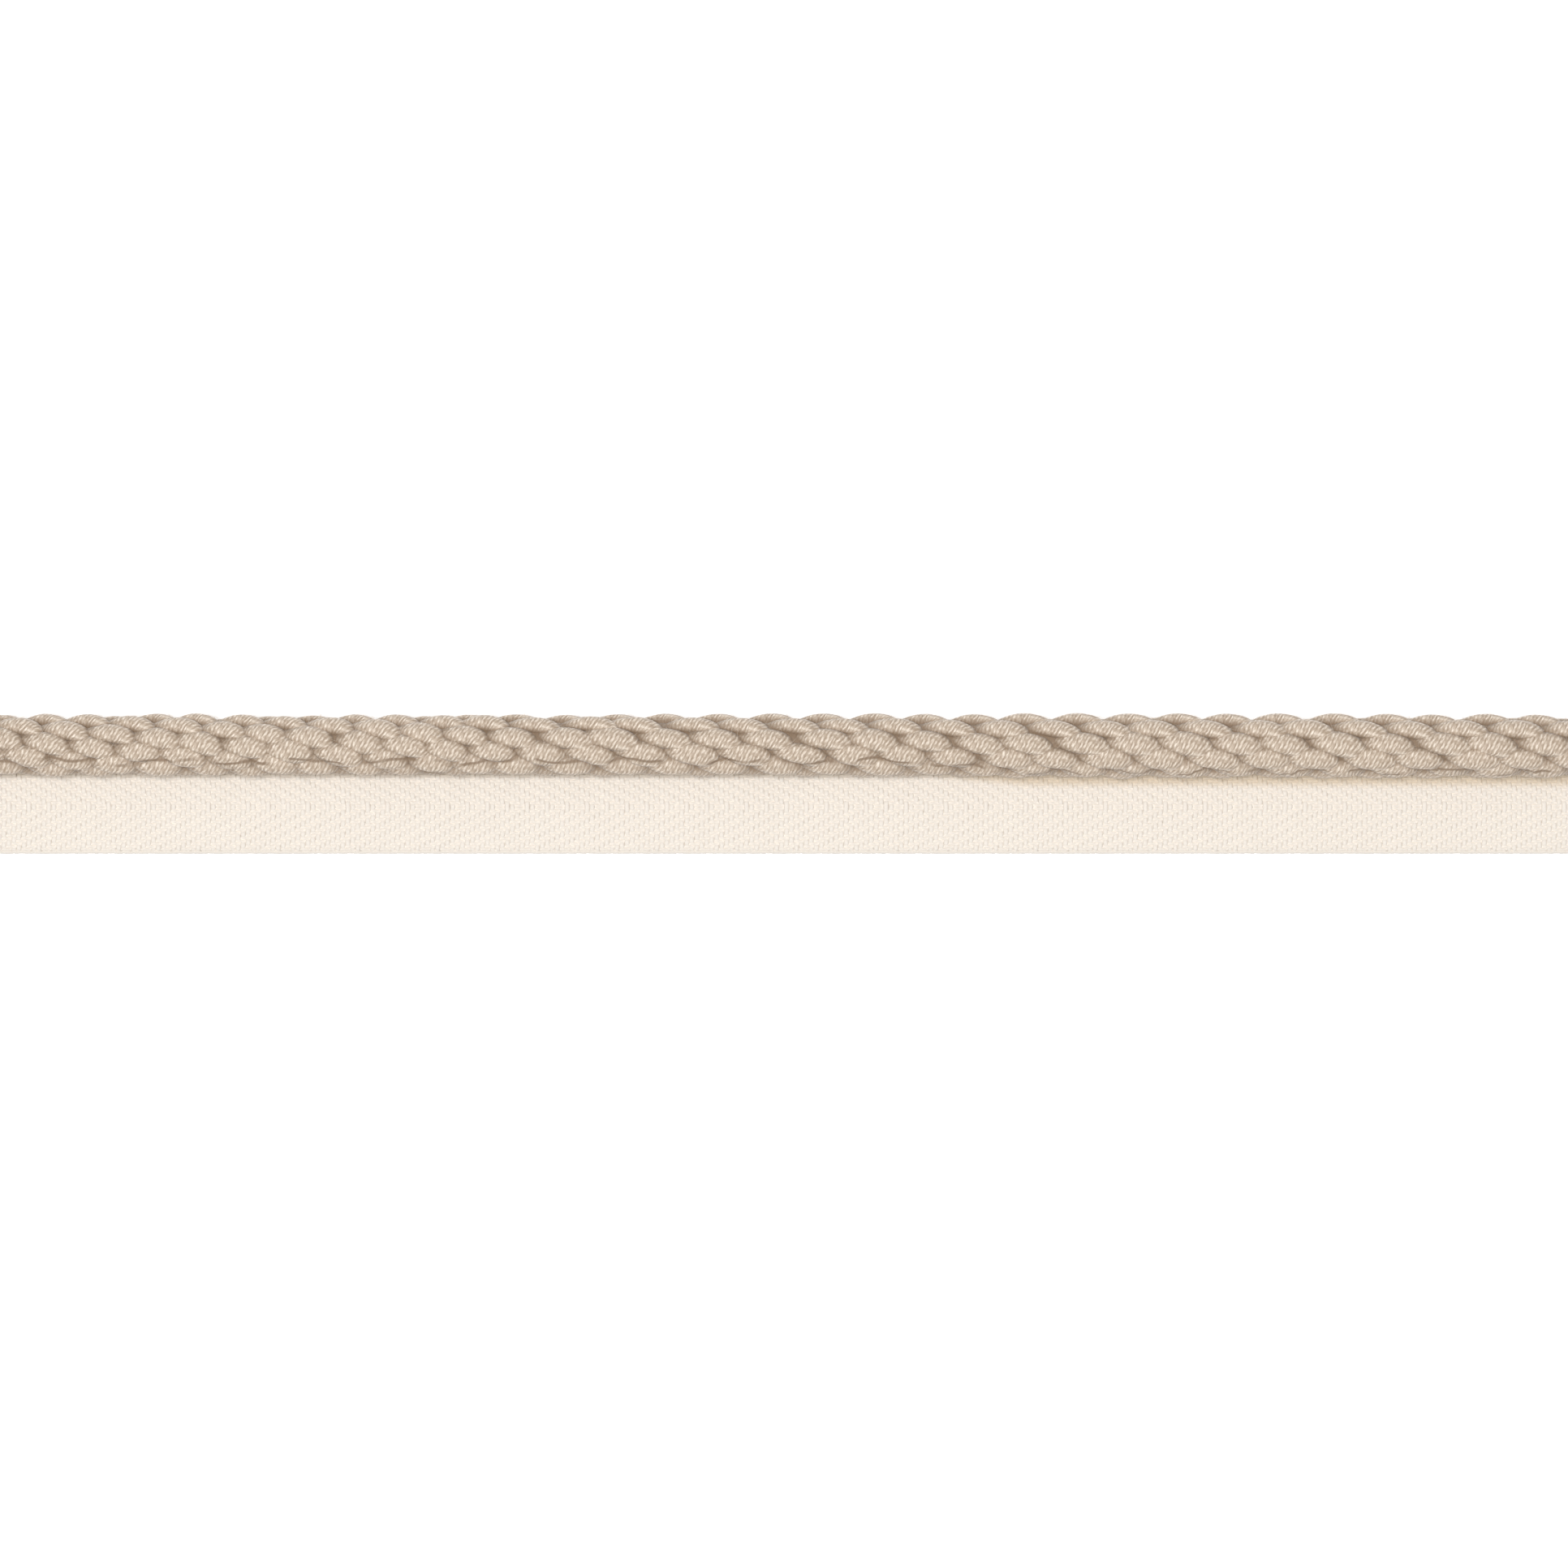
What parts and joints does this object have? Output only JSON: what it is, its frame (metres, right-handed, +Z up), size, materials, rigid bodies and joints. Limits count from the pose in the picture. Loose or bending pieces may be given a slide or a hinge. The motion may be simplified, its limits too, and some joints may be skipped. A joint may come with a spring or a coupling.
{
  "type": "braided lip cord",
  "caption": "Cut length of thick braided cord in taupe yarn, sewn along one edge of a flat cream herringbone tape that goes into a seam.",
  "frame": {"origin": "middle of the whole cut length and of its width, on the surface that it lies on", "axes": "+X along the cord, +Y from the tape towards the cord, +Z up from the surface"},
  "size_m": [0.24, 0.0206, 0.0094],
  "materials": {
    "cord_yarn": "soft twisted taupe yarn, solid braided, with a faint silky sheen",
    "tape_cotton": "undyed cream cotton in a herringbone twill with one chevron line along the middle"
  },
  "bodies": {
    "root": {"braided_cord": "cord_yarn", "herringbone_tape": "tape_cotton"}
  },
  "joints": []
}
